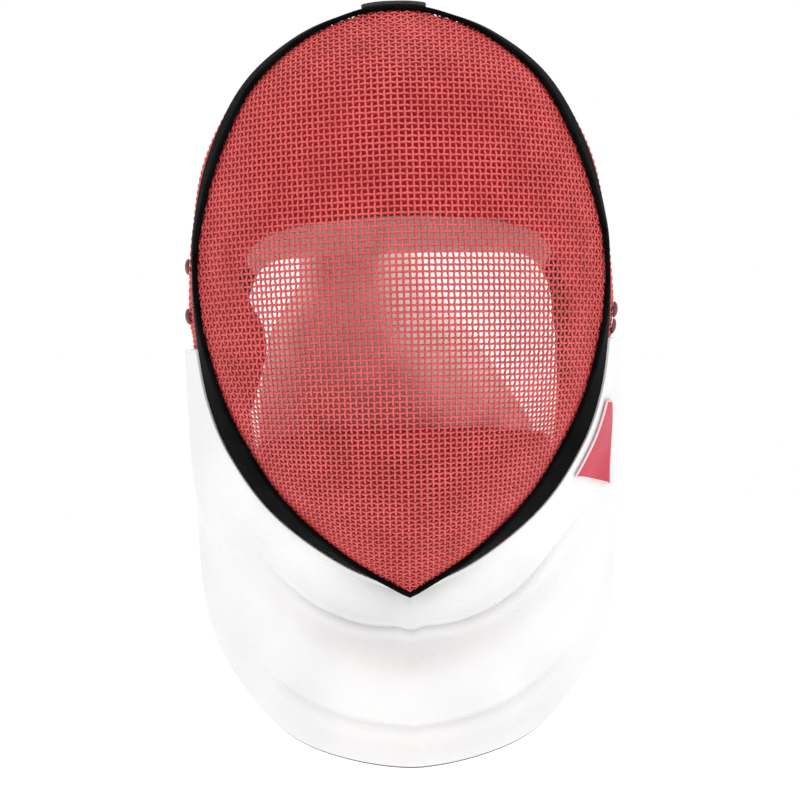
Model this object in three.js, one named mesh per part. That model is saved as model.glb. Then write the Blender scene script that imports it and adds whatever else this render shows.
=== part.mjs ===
// Fencing mask as it is worn, in millimetres, with +Z up and the wearer looking along -Y.
// The origin is the head seat, the place inside the crown where the top of the head rests.
import * as THREE from 'three';
import { mergeVertices } from 'three/addons/utils/BufferGeometryUtils.js';

// Wire face
const faceWidth = 190.4;
const faceHeight = 275;
const faceDepth = 77; // from the nose back to the widest part of the rim
const wireWall = 2.2; // over the knuckles of the weave
const flange = 6; // turned edge of the face under the trim

// Crown and sides
const crownReach = 208; // from the nose back to the rear edge of the crown
const swell = 13.5; // how far the sides stand out past a straight line
const swellLead = 0.5; // share of the swell just behind the trim

// Where the nose lies from the seat
const noseForward = 120;
const noseBelow = 130;

// Trim, bindings and lining
const trimWidth = 15;
const trimWall = 2.2;
const bindingWidth = 11;
const bindingWall = 1.5;
const liningWall = 2.4;
const liningSag = 16; // how far the loose left side of the lining hangs into the hollow
const tabWidth = 28;
const tabWall = 2;

// Tongue and nape pad
const tongueLength = 140;
const tongueWidth = 150;
const tongueWall = 3;
const padRoom = 20; // from each side of the pad to the width of the face
const padHeight = 88;
const padWall = 12;

// Bib
const bibFlare = 7.8; // how far the bib stands out past the face
const bibDrop = 224; // from nose level down to the lowest point of the hem
const bibShort = 36; // the rear corners end this far in front of the crown's rear edge
const bibBelly = 11;
const bibWall = 2.4;
const foldDepth = 6;
const patchWall = 1;

// Rivets
const rivetRadius = 4;
const rivetHeight = 2.5;

// Fit and fineness
const gap = 0.3;
const facetRoom = 0.6; // more room where two curved pieces lie on each other
const weld = 0.001;
const placesPerRow = 2;
const faceColumns = 20;
const sideColumns = 10;
const liningColumns = 6;
const tabRows = 8;
const tongueColumns = 10;
const padRows = 3;
const padColumns = 10;
const linesPerRow = 3;
const bibColumns = 14;
const patchSteps = 6;
const rivetSides = 14;

// Places, as shares of the way from the rim (0) to the rear edge (1) or rows of the tables
const trimEnd = 0.12; // the trim covers this much of the way
const bindingShare = 0.5; // the most of a short way that the binding takes
const hemPlace = 4.5; // the pale hem of the crown reaches down to this row
const jointShare = 0.03; // rows between the hem and the binding that goes on from it
const liningPlace = 11.5; // the lining reaches down to this row
const liningMargin = 0.02;
const sagFrom = 5;
const sagTo = 9.5;
const tabLead = 0.01;
const bibEase = 0.3; // how soon the bib turns from the way it leaves the trim
const rivetWay = 0.3;
const patchTop = 1.2; // lines of the bib from which, and to which, the patch reaches
const patchBottoms = [2.45, 2.2];
const patchFront = 0.03; // shares of the way down those lines
const patchRears = [0.1, 0.4];
const patchProbe = 0.01;

// Tongue and pad behind the head
const napeStart = 8; // below the crown's rear edge
const napeBow = 8;
const napeWrap = 18;
const hemTip = 4.8;
const tongueTops = [-2.8, 0.7]; // the tongue's top spans these rows, from the left side to the right
const padMiddle = 0.935; // share of the tongue's length
const padCorner = 0.7;
const padLift = 0.05;

// Sections of the front from the top of the trim down to the chin. Shares of the named sizes: up of
// faceHeight above nose level, half of half the faceWidth, ridge and rim of faceDepth behind the nose,
// and band of trimWidth seen from the front.
const sections = [
  { up: 0.5, half: 0, ridge: 0.922, rim: 0.922, band: 0.29 },
  { up: 0.491, half: 0.194, ridge: 0.877, rim: 0.916, band: 0.31 },
  { up: 0.451, half: 0.453, ridge: 0.662, rim: 0.909, band: 0.4 },
  { up: 0.374, half: 0.702, ridge: 0.383, rim: 0.916, band: 0.48 },
  { up: 0.258, half: 0.877, ridge: 0.214, rim: 0.961, band: 0.5 },
  { up: 0.138, half: 0.979, ridge: 0.097, rim: 0.994, band: 0.36 },
  { up: 0.064, half: 1, ridge: 0.039, rim: 1, band: 0.28 },
  { up: 0, half: 0.991, ridge: 0, rim: 0.994, band: 0.32 },
  { up: -0.057, half: 0.966, ridge: 0.03, rim: 1.006, band: 0.387 },
  { up: -0.152, half: 0.893, ridge: 0.169, rim: 1.078, band: 0.613 },
  { up: -0.241, half: 0.78, ridge: 0.396, rim: 1.169, band: 0.747 },
  { up: -0.338, half: 0.599, ridge: 0.695, rim: 1.26, band: 0.667 },
  { up: -0.433, half: 0.305, ridge: 1.078, rim: 1.331, band: 0.413 },
  { up: -0.5, half: 0, ridge: 1.403, rim: 1.403, band: 0.067 },
];

// The rear edge at the same rows: half of half the faceWidth, up of faceHeight, back of crownReach, and
// puff of swell for the way to it.
const rearEdge = [
  { half: 0, up: 0.131, back: 1, puff: 0.3 },
  { half: 0.17, up: 0.131, back: 1, puff: 0.25 },
  { half: 0.38, up: 0.13, back: 0.995, puff: 0.16 },
  { half: 0.59, up: 0.126, back: 0.986, puff: 0.2 },
  { half: 0.76, up: 0.108, back: 0.971, puff: 0.57 },
  { half: 0.85, up: 0.055, back: 0.957, puff: 0.7 },
  { half: 0.872, up: -0.004, back: 0.947, puff: 1 },
  { half: 0.882, up: -0.051, back: 0.933, puff: 1 },
  { half: 0.882, up: -0.098, back: 0.913, puff: 0.62 },
  { half: 0.861, up: -0.193, back: 0.865, puff: 0.41 },
  { half: 0.809, up: -0.273, back: 0.793, puff: 0.37 },
  { half: 0.64, up: -0.36, back: 0.712, puff: 0.33 },
  { half: 0.347, up: -0.454, back: 0.663, puff: 0.22 },
  { half: 0, up: -0.518, back: 0.644, puff: 0.15 },
];

// Lines down the bib from the ear to the chin. place is the row of the sections where the line leaves
// the trim. The hem end: half of bibHalf, drop of bibDrop below nose level, back of bibReach. belly is a
// share of bibBelly, fold of foldDepth, and turn the way the line faces, from 1 sideways to 0 forward.
const bibLines = [
  { place: 8.15, half: 0.97, drop: 0.104, back: 1, belly: 0.5, fold: 0, turn: 1 },
  { place: 9, half: 0.985, drop: 0.293, back: 0.994, belly: 0.4, fold: 0.15, turn: 0.9 },
  { place: 10, half: 1.02, drop: 0.47, back: 0.977, belly: 0.45, fold: 0.4, turn: 0.75 },
  { place: 11, half: 0.965, drop: 0.69, back: 0.919, belly: 0.5, fold: 0.7, turn: 0.55 },
  { place: 12, half: 0.76, drop: 0.857, back: 0.826, belly: 0.4, fold: 0.9, turn: 0.33 },
  { place: 12.55, half: 0.48, drop: 0.955, back: 0.709, belly: 0.2, fold: 1, turn: 0.15 },
  { place: 13, half: 0, drop: 1, back: 0.651, belly: 0, fold: 1, turn: 0 },
];

// Folds across the bib, from the trim to the hem: down is a share of the way, out of foldDepth.
const bibFolds = [
  { down: 0, out: 0 },
  { down: 0.22, out: -0.9 },
  { down: 0.48, out: 0.6 },
  { down: 0.78, out: -0.5 },
  { down: 1, out: 0 },
];

// Rows down the tongue, which hangs a little to the left: down is a share of tongueLength, and half and
// shift are shares of tongueWidth.
const tongueRows = [
  { down: 0.08, half: 0.453, shift: -0.12 },
  { down: 0.25, half: 0.653, shift: -0.1 },
  { down: 0.45, half: 0.813, shift: -0.06 },
  { down: 0.6, half: 0.927, shift: -0.023 },
  { down: 0.8, half: 1, shift: 0 },
  { down: 0.95, half: 0.9, shift: 0 },
];

// Rivets at the ears, by the row of the sections and the side.
const rivets = [
  { name: 'rivet_left_upper', place: 5.7, side: -1 },
  { name: 'rivet_left_lower', place: 7.02, side: -1 },
  { name: 'rivet_right_upper', place: 7.16, side: 1 },
  { name: 'rivet_right_lower', place: 7.84, side: 1 },
];

const lastRow = sections.length - 1;
const halfFace = faceWidth / 2;
const padWidth = faceWidth - 2 * padRoom;
const bibHalf = halfFace + bibFlare;
const bibReach = crownReach - bibShort;
const layer = wireWall / 2 + gap; // from the middle of the wire cloth to the face of the trim on it
const looseLayer = layer + facetRoom; // the same for what lies on the curved crown and sides

// A smooth value through four evenly spaced ones, from the second to the third.
function smooth([before, from, to, after], share) {
  const slopeIn = (to - before) / 2;
  const slopeOut = (after - from) / 2;
  const rest = to - from;
  const square = share * share;
  return from + slopeIn * share + (3 * rest - 2 * slopeIn - slopeOut) * square
    + (slopeIn + slopeOut - 2 * rest) * square * share;
}

// Reads a column of a table at a place between rows. The first row mirrors, or flips a crossing column.
// The last row flips, or mirrors a column that is level there.
function readTable(table, column, place, crossing = false, level = false) {
  const last = table.length - 1;
  const row = Math.min(Math.floor(place), last - 1);
  const value = (index) => {
    if (index < 0) {
      return crossing ? 2 * table[0][column] - table[-index][column] : table[-index][column];
    }
    if (index > last) {
      const mirrored = table[2 * last - index][column];
      return level ? mirrored : 2 * table[last][column] - mirrored;
    }
    return table[index][column];
  };
  return smooth([row - 1, row, row + 1, row + 2].map(value), place - row);
}

// A point from its width, its depth behind the nose and its height above nose level.
function spot(across, depth, up) {
  return new THREE.Vector3(across, depth - noseForward, up - noseBelow);
}

const along = (point, direction, length) => point.clone().addScaledVector(direction, length);

const steps = (count) => Array.from({ length: count + 1 }, (_, index) => index / count);

// Section of the dome from the ridge to the rim: a blunt ridge, then an ever steeper side.
const ridgeShare = 0.43;
const ridgeBlunt = 0.05;
const roundness = 0.75;

function domeShare(across) {
  const ridgePart = (value) => Math.hypot(value, ridgeBlunt) - ridgeBlunt;
  const roundPart = (value) => 1 - Math.sqrt(1 - roundness * value * value);
  const left = 1 - ridgeShare * ridgePart(1);
  return ridgeShare * ridgePart(across) + left * roundPart(across) / roundPart(1);
}

function facePoint(place, across) {
  const half = readTable(sections, 'half', place, true) * halfFace;
  const ridge = readTable(sections, 'ridge', place) * faceDepth;
  const rim = readTable(sections, 'rim', place) * faceDepth;
  const up = readTable(sections, 'up', place) * faceHeight;
  return spot(across * half, ridge + (rim - ridge) * domeShare(Math.abs(across)), up);
}

// The rim at a place, with the way out of the mask and the way back along the trim. Side is 1 or -1.
function rimFrame(place, side) {
  const step = 0.05;
  const point = facePoint(place, side);
  const isTop = place < step;
  const isChin = place > lastRow - step;
  const above = isTop ? facePoint(step, -side) : facePoint(place - step, side);
  const below = isChin ? facePoint(lastRow - step, -side) : facePoint(place + step, side);
  const tangent = below.sub(above).normalize();
  const rear = new THREE.Vector3(0, 1, 0);
  rear.addScaledVector(tangent, -rear.dot(tangent)).normalize();
  const outward = new THREE.Vector3().crossVectors(tangent, rear).multiplyScalar(side);
  const seen = readTable(sections, 'band', place) * trimWidth;
  const lift = Math.asin((seen - layer - trimWall / 2) / trimWidth);
  const run = rear.clone().multiplyScalar(Math.cos(lift)).addScaledVector(outward, Math.sin(lift));
  const face = outward.clone().multiplyScalar(Math.cos(lift)).addScaledVector(rear, -Math.sin(lift));
  return { point, outward, run, face };
}

// A point on the crown and sides: way 0 is the rim, and way 1 is the rear edge.
function sidePoint(place, side, way, raise = 0) {
  const { point, outward, run, face } = rimFrame(place, side);
  if (way <= trimEnd) {
    return along(point, run, trimWidth * way / trimEnd).addScaledVector(face, raise);
  }
  const start = along(point, run, trimWidth);
  const end = spot(
    side * readTable(rearEdge, 'half', place, true) * halfFace,
    readTable(rearEdge, 'back', place) * crownReach,
    readTable(rearEdge, 'up', place) * faceHeight,
  );
  const span = end.y - start.y;
  const stand = readTable(rearEdge, 'puff', place) * swell;
  const first = along(along(start, run, 0.33 * span), outward, swellLead * stand);
  const second = end.clone().lerp(start, 0.75);
  second.y = end.y - 0.28 * span;
  second.addScaledVector(outward, stand);
  const curve = new THREE.CubicBezierCurve3(start, first, second, end);
  const share = (way - trimEnd) / (1 - trimEnd);
  const place3 = curve.getPoint(share);
  const heading = curve.getTangent(share);
  const around = new THREE.Vector3().crossVectors(outward, run);
  const raised = new THREE.Vector3().crossVectors(heading, around).normalize();
  return place3.addScaledVector(raised, raise);
}

// Stations round the mask: down the right side from one place to the chin and up the left side again.
function loopStations(from = 0, to = lastRow) {
  const count = Math.round((to - from) * placesPerRow);
  const down = steps(count).map((share) => from + share * (to - from));
  const right = down.map((place) => ({ place, side: 1 }));
  const left = down.map((place) => ({ place, side: -1 })).reverse();
  return [...right, ...left.slice(to === lastRow ? 1 : 0)];
}

// Stations over the crown, from a place on the left side to the same place on the right.
function crownStations(to) {
  const down = steps(Math.round(to * placesPerRow)).map((share) => share * to);
  const left = down.map((place) => ({ place, side: -1 })).reverse();
  const right = down.slice(1).map((place) => ({ place, side: 1 }));
  return [...left, ...right];
}

// A closed wall on a surface of grids, each seen from outside with its rows down and columns to the right.
function wallOf(grids, inside, outside) {
  const corners = [];
  for (const grid of grids) {
    for (let row = 0; row + 1 < grid.length; row += 1) {
      for (let column = 0; column + 1 < grid[row].length; column += 1) {
        const upperLeft = grid[row][column];
        const lowerLeft = grid[row + 1][column];
        const lowerRight = grid[row + 1][column + 1];
        const upperRight = grid[row][column + 1];
        corners.push(upperLeft, lowerLeft, lowerRight, upperLeft, lowerRight, upperRight);
      }
    }
  }
  const sheet = mergeVertices(new THREE.BufferGeometry().setFromPoints(corners), weld);
  const triangles = [];
  for (let index = 0; index < sheet.index.count; index += 3) {
    const triangle = [0, 1, 2].map((corner) => sheet.index.getX(index + corner));
    if (new Set(triangle).size === 3) {
      triangles.push(triangle);
    }
  }
  sheet.setIndex(triangles.flat());
  sheet.computeVertexNormals();

  const count = sheet.attributes.position.count;
  const points = [];
  for (const distance of [outside, -inside]) {
    for (let index = 0; index < count; index += 1) {
      const point = new THREE.Vector3().fromBufferAttribute(sheet.attributes.position, index);
      const normal = new THREE.Vector3().fromBufferAttribute(sheet.attributes.normal, index);
      points.push(point.addScaledVector(normal, distance));
    }
  }
  const faces = [];
  const edges = new Map();
  for (const [a, b, c] of triangles) {
    faces.push(a, b, c, c + count, b + count, a + count);
    for (const [from, to] of [[a, b], [b, c], [c, a]]) {
      edges.set(`${from} ${to}`, [from, to]);
    }
  }
  for (const [from, to] of edges.values()) {
    if (!edges.has(`${to} ${from}`)) {
      faces.push(to, from, from + count, to, from + count, to + count);
    }
  }
  const wall = new THREE.BufferGeometry().setFromPoints(points);
  wall.setIndex(faces);
  wall.computeVertexNormals();
  return wall;
}

function piece(name, geometry, colour, roughness, metalness = 0) {
  const material = new THREE.MeshStandardMaterial({ color: colour, roughness, metalness });
  const mesh = new THREE.Mesh(geometry, material);
  mesh.name = name;
  return mesh;
}

function faceMesh() {
  const places = steps(lastRow * placesPerRow).map((share) => share * lastRow);
  const dome = places.map((place) => steps(faceColumns).map((share) => facePoint(place, 2 * share - 1)));
  const turned = loopStations().map(({ place, side }) => {
    const { point, run } = rimFrame(place, side);
    return [point, along(point, run, flange)];
  });
  return piece('face_mesh', wallOf([dome, turned], wireWall / 2, wireWall / 2), 0xc9454a, 0.45, 0.2);
}

function sideMesh() {
  const start = (flange + gap) / trimWidth * trimEnd;
  const ways = [start, ...steps(sideColumns).map((share) => trimEnd + share * (1 - trimEnd))];
  const grid = loopStations().map(({ place, side }) => ways.map((way) => sidePoint(place, side, way)));
  return piece('side_mesh', wallOf([grid], wireWall / 2, wireWall / 2), 0xbe3b42, 0.45, 0.2);
}

// The trim lies on the wire cloth: its middle is half of each wall and the gap away.
const trimRaise = layer + trimWall / 2;
const trimLead = 1; // the trim starts this far in front of the rim

function frontTrim() {
  const grid = loopStations().map(({ place, side }) => {
    const { point, run, face } = rimFrame(place, side);
    return [-trimLead, trimWidth / 2, trimWidth - trimLead].map(
      (distance) => along(along(point, run, distance), face, trimRaise),
    );
  });
  return piece('front_trim', wallOf([grid], trimWall / 2, trimWall / 2), 0x202224, 0.75);
}

// How far along a station's way a strip of a given width reaches in from the rear edge.
function rearWay(place, side, width) {
  const length = sidePoint(place, side, trimEnd).distanceTo(sidePoint(place, side, 1));
  return 1 - (1 - trimEnd) * Math.min(width / length, bindingShare);
}

// A binding folded over the rear edge, as a grid of its middle surface.
function bindingGrid(stations) {
  const raise = looseLayer + bindingWall / 2;
  return stations.map(({ place, side }) => {
    const start = rearWay(place, side, bindingWidth);
    const middle = (start + 1) / 2;
    const edge = sidePoint(place, side, 1);
    const heading = edge.clone().sub(sidePoint(place, side, middle)).normalize();
    const raised = sidePoint(place, side, 1, 1).sub(edge);
    const corner = (lift) => along(along(edge, heading, 2 * gap), raised, lift);
    return [
      sidePoint(place, side, start, raise),
      sidePoint(place, side, middle, raise),
      corner(raise),
      along(edge, heading, 2 * gap + raise),
      corner(-raise),
      sidePoint(place, side, middle, -raise),
      sidePoint(place, side, start, -raise),
    ];
  });
}

const bindingWallOf = (stations) => wallOf([bindingGrid(stations)], bindingWall / 2, bindingWall / 2);

function crownHem() {
  return piece('crown_hem', bindingWallOf(crownStations(hemPlace)), 0xe6c9c6, 0.85);
}

function rearBinding() {
  return piece('rear_binding', bindingWallOf(loopStations(hemPlace + jointShare)), 0x4a1216, 0.85);
}

// The lining lies inside the crown and sides, and its loose left side hangs into the hollow.
function crownLining() {
  const raise = looseLayer + liningWall / 2;
  const grid = crownStations(liningPlace).map(({ place, side }) => {
    const end = rearWay(place, side, bindingWidth) - liningMargin;
    const looseness = Math.sin(Math.PI * THREE.MathUtils.clamp((place - sagFrom) / (sagTo - sagFrom), 0, 1));
    const sag = side < 0 ? liningSag * looseness : 0;
    return steps(liningColumns).map((share) => {
      const way = trimEnd + liningMargin + share * (end - trimEnd - liningMargin);
      return sidePoint(place, side, way, -raise - sag * share * share);
    });
  });
  return piece('crown_lining', wallOf([grid], liningWall / 2, liningWall / 2), 0x5a1418, 0.9);
}

// Webbing over the top: first on the trim, then down on the wire cloth of the crown.
function crownTab() {
  const onTrim = layer + trimWall + gap + tabWall / 2;
  const onCrown = looseLayer + tabWall / 2;
  const reach = tabWidth / faceWidth / sections[1].half;
  const end = rearWay(0, 1, bindingWidth) - liningMargin;
  const drop = trimEnd + liningMargin;
  const rows = [
    [tabLead, onTrim],
    [trimEnd, onTrim],
    ...steps(tabRows).map((share) => [drop + share * (end - drop), onCrown]),
  ];
  const across = [[reach, -1], [reach / 2, -1], [0, -1], [reach / 2, 1], [reach, 1]];
  const grid = across.map(([place, side]) => rows.map(([way, raise]) => sidePoint(place, side, way, raise)));
  return piece('crown_tab', wallOf([grid], tabWall / 2, tabWall / 2), 0x2a2c2e, 0.8);
}

// The surface behind the head, from the crown's rear edge down to the nape. raise is outwards.
function napePoint(across, down, raise = 0) {
  const bow = napeBow * Math.sin(Math.PI * down);
  const wrap = napeWrap * (2 * across / padWidth) ** 2;
  const top = rearEdge[0].up * faceHeight - napeStart;
  return spot(across, crownReach + bow - wrap + raise, top - down * tongueLength);
}

function tongue() {
  const top = steps(tongueColumns).map((share) => {
    const across = THREE.MathUtils.lerp(tongueTops[0], tongueTops[1], share);
    const place = Math.abs(across);
    const side = across < 0 ? -1 : 1;
    const edge = sidePoint(place, side, 1);
    const heading = edge.clone().sub(sidePoint(place, side, rearWay(place, side, bindingWidth))).normalize();
    return along(edge, heading, hemTip);
  });
  const rows = tongueRows.map(({ down, half, shift }) => steps(tongueColumns).map(
    (share) => napePoint(((share - 0.5) * half + shift) * tongueWidth, down),
  ));
  const grid = [top, ...rows].map((row) => [...row].reverse());
  return piece('tongue', wallOf([grid], tongueWall / 2, tongueWall / 2), 0xe9cfc9, 0.85);
}

function napePad() {
  const raise = -(tongueWall / 2 + gap + 2 * facetRoom + padWall / 2);
  const grid = steps(padRows).map((drop) => steps(padColumns).map((share) => {
    const across = share - 0.5;
    const curve = Math.sqrt(1 - (2 * across * padCorner) ** 2);
    const middle = padMiddle + (drop - 0.5) * curve * padHeight / tongueLength;
    const rise = padLift * (2 * across) ** 2;
    return napePoint(across * padWidth, middle - rise, raise);
  }).reverse());
  return piece('nape_pad', wallOf([grid], padWall / 2, padWall / 2), 0x2b1a1c, 0.9);
}

// How far a fold stands out at a share of the way down the bib.
function foldAt(down) {
  const index = Math.max(1, bibFolds.findIndex((fold) => fold.down >= down));
  const [above, below] = [bibFolds[index - 1], bibFolds[index]];
  const share = THREE.MathUtils.smoothstep(down, above.down, below.down);
  return THREE.MathUtils.lerp(above.out, below.out, share);
}

// A point of the bib on a line between two rows of its table, a share of the way down it.
function bibPoint(line, side, down) {
  const read = (column) => readTable(bibLines, column, line, false, column === 'drop');
  const { run } = rimFrame(read('place'), side);
  const raise = looseLayer + bibWall / 2 + (1 - read('turn')) * (bindingWall + facetRoom);
  const edge = sidePoint(read('place'), side, trimEnd, raise);
  const start = along(edge, run, (bibWall / 2 + gap) * (1 - read('turn')));
  const end = spot(side * read('half') * bibHalf, read('back') * bibReach, -read('drop') * bibDrop);
  const angle = read('turn') * Math.PI / 2;
  const facing = new THREE.Vector3(side * Math.sin(angle), -Math.cos(angle), 0);
  const reach = bibEase * start.distanceTo(end);
  const straight = end.clone().sub(start).normalize();
  const leave = straight.clone().lerp(run, read('turn')).normalize();
  const belly = read('belly') * bibBelly;
  const curve = new THREE.CubicBezierCurve3(
    start,
    along(along(start, leave, reach), facing, belly),
    along(along(end, straight, -reach), facing, belly),
    end,
  );
  return along(curve.getPoint(down), facing, foldDepth * read('fold') * foldAt(down));
}

const lastLine = bibLines.length - 1;

function bib() {
  const lines = steps(lastLine * linesPerRow).map((share) => share * lastLine);
  const right = lines.map((line) => [line, 1]);
  const left = lines.slice(0, -1).reverse().map((line) => [line, -1]);
  const grid = [...right, ...left].map(
    ([line, side]) => steps(bibColumns).map((down) => bibPoint(line, side, down)),
  );
  return piece('bib', wallOf([grid], bibWall / 2, bibWall / 2), 0xf6f5f3, 0.9);
}

// The patch lies on the bib's right side, below the ear.
function bibPatch() {
  const raise = bibWall / 2 + gap + facetRoom + patchWall / 2;
  const grid = steps(patchSteps).map((drop) => steps(patchSteps).map((share) => {
    const bottom = THREE.MathUtils.lerp(patchBottoms[0], patchBottoms[1], share);
    const line = THREE.MathUtils.lerp(patchTop, bottom, drop);
    const rear = THREE.MathUtils.lerp(patchRears[0], patchRears[1], drop);
    const down = THREE.MathUtils.lerp(patchFront, rear, share);
    const point = bibPoint(line, 1, down);
    const downward = bibPoint(line + patchProbe, 1, down).sub(point);
    const backward = bibPoint(line, 1, down + patchProbe).sub(point);
    return along(point, downward.cross(backward).normalize(), raise);
  }));
  return piece('bib_patch', wallOf([grid], patchWall / 2, patchWall / 2), 0xcc3350, 0.8);
}

// A domed rivet head, which sits on the wire cloth beside the ear.
function rivet(name, place, side) {
  const profile = [[0, 0], [1, 0], [1, 0.3], [0.8, 0.72], [0.45, 0.95], [0, 1]];
  const points = profile.map(([out, up]) => new THREE.Vector2(out * rivetRadius, up * rivetHeight));
  const mesh = piece(name, new THREE.LatheGeometry(points, rivetSides), 0x2a1a1c, 0.4, 0.6);
  const seat = sidePoint(place, side, rivetWay);
  const raised = sidePoint(place, side, rivetWay, 1).sub(seat).normalize();
  mesh.position.copy(along(seat, raised, looseLayer));
  mesh.quaternion.setFromUnitVectors(new THREE.Vector3(0, 1, 0), raised);
  return mesh;
}

const mask = new THREE.Group();
mask.add(faceMesh(), sideMesh(), frontTrim(), crownTab());
mask.add(crownLining(), crownHem(), rearBinding(), tongue(), napePad());
mask.add(bib(), bibPatch());
rivets.forEach(({ name, place, side }) => mask.add(rivet(name, place, side)));

export default mask;
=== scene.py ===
import math

import bpy
import numpy as np
from mathutils import Matrix, Vector


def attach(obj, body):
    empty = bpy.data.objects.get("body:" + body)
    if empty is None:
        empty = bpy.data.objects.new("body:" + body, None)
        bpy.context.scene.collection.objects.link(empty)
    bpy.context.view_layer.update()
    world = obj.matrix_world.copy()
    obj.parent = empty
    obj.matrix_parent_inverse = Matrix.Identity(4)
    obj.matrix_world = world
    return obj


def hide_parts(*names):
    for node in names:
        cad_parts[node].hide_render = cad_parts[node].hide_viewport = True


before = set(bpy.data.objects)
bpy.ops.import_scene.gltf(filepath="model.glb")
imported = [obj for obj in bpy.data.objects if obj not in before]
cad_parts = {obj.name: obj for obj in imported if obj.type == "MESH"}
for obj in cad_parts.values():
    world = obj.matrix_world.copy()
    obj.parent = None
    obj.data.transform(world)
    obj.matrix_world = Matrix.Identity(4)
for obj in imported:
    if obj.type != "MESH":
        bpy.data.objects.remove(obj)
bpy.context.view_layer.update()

MM = 0.001

# Sizes of the part. Where a piece of cloth differs from the part's solid, its line says so.

# Wire face, crown and sides
FACE_WIDTH = 190.4 * MM
FACE_HEIGHT = 275 * MM
FACE_DEPTH = 77 * MM
CROWN_REACH = 208 * MM
SWELL = 13.5 * MM
SWELL_LEAD = 0.5
LEAVE_SHARE = 0.33
HIP_PLACE = 0.75
HIP_SHARE = 0.28
WIRE_WALL = 2.2 * MM
NOSE_FORWARD = 120 * MM
NOSE_BELOW = 130 * MM

# Trim, bindings, lining and webbing
TRIM_WIDTH = 15 * MM
TRIM_WALL = 2.2 * MM
BINDING_WIDTH = 11 * MM
BINDING_WALL = 1.5 * MM
BINDING_MOST = 0.5
LINING_WALL = 2.4 * MM
LINING_SAG = 21 * MM  # 16 mm in the part
LINING_MARGIN = 0.02
LINING_CLOSE = 0.006
TAB_WIDTH = 28 * MM
TAB_WALL = 2 * MM
GAP = 0.3 * MM
FACET_ROOM = 0.6 * MM
TRIM_END = 0.12

# Bib
BIB_FLARE = 7.8 * MM
BIB_HALF = FACE_WIDTH / 2 + BIB_FLARE
BIB_DROP = 224 * MM
BIB_REACH = CROWN_REACH - 36 * MM
BIB_BELLY = 11 * MM
BIB_WALL = 2.4 * MM
BIB_EASE = 0.3
FOLD_DEPTH = 4.5 * MM  # 6 mm in the part

# Woven wire
PITCH = 3.05 * MM
WIRE_RADIUS = 0.56 * MM
WIRE_SIDES = 6
CORD_SIDES = 8

# Camera: how the photograph was taken
LENS = 116.5
SENSOR = 36.0
CAMERA_DISTANCE = 1150 * MM
CAMERA_HEIGHT = -175 * MM
CAMERA_AZIMUTH = math.radians(-0.5)
CAMERA_ROLL = math.radians(1.65)
FRAME_SIZE = 800
CENTRE_PIXEL = 407

HALF_FACE = FACE_WIDTH / 2
LAYER = WIRE_WALL / 2 + GAP
LOOSE_LAYER = LAYER + FACET_ROOM

# Sections of the mask from the top of the trim to the chin, in shares of the sizes above. The part swells a
# little more in rows 2 to 5: 0.16, 0.2, 0.57 and 0.7.
SECTION_NAMES = ("up", "half", "ridge", "rim", "band", "back_half", "back_up", "back", "puff")
SECTIONS = (
    (0.5, 0, 0.922, 0.922, 0.29, 0, 0.131, 1, 0.3),
    (0.491, 0.194, 0.877, 0.916, 0.31, 0.17, 0.131, 1, 0.25),
    (0.451, 0.453, 0.662, 0.909, 0.4, 0.38, 0.13, 0.995, 0.02),
    (0.374, 0.702, 0.383, 0.916, 0.48, 0.59, 0.126, 0.986, 0),
    (0.258, 0.877, 0.214, 0.961, 0.5, 0.76, 0.108, 0.971, 0.35),
    (0.138, 0.979, 0.097, 0.994, 0.36, 0.85, 0.055, 0.957, 0.58),
    (0.064, 1, 0.039, 1, 0.28, 0.872, -0.004, 0.947, 1),
    (0, 0.991, 0, 0.994, 0.32, 0.882, -0.051, 0.933, 1),
    (-0.057, 0.966, 0.03, 1.006, 0.387, 0.882, -0.098, 0.913, 0.62),
    (-0.152, 0.893, 0.169, 1.078, 0.613, 0.861, -0.193, 0.865, 0.41),
    (-0.241, 0.78, 0.396, 1.169, 0.747, 0.809, -0.273, 0.793, 0.37),
    (-0.338, 0.599, 0.695, 1.26, 0.667, 0.64, -0.36, 0.712, 0.33),
    (-0.433, 0.305, 1.078, 1.331, 0.413, 0.347, -0.454, 0.663, 0.22),
    (-0.5, 0, 1.403, 1.403, 0.067, 0, -0.518, 0.644, 0.15),
)
LAST_ROW = len(SECTIONS) - 1

# Lines down the bib from the ear to the chin, as in the part
BIB_NAMES = ("place", "half", "drop", "back", "belly", "fold", "turn")
BIB_LINES = (
    (8.15, 0.97, 0.104, 1, 0.5, 0, 1),
    (9, 0.985, 0.293, 0.994, 0.4, 0.15, 0.9),
    (10, 1.02, 0.47, 0.977, 0.45, 0.4, 0.75),
    (11, 0.965, 0.69, 0.919, 0.5, 0.7, 0.55),
    (12, 0.76, 0.857, 0.826, 0.4, 0.9, 0.33),
    (12.55, 0.48, 0.955, 0.709, 0.2, 1, 0.15),
    (13, 0, 1, 0.651, 0, 1, 0),
)
LAST_LINE = len(BIB_LINES) - 1
BIB_FOLDS = ((0, 0), (0.22, -0.9), (0.48, 0.6), (0.78, -0.5), (1, 0))


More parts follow.
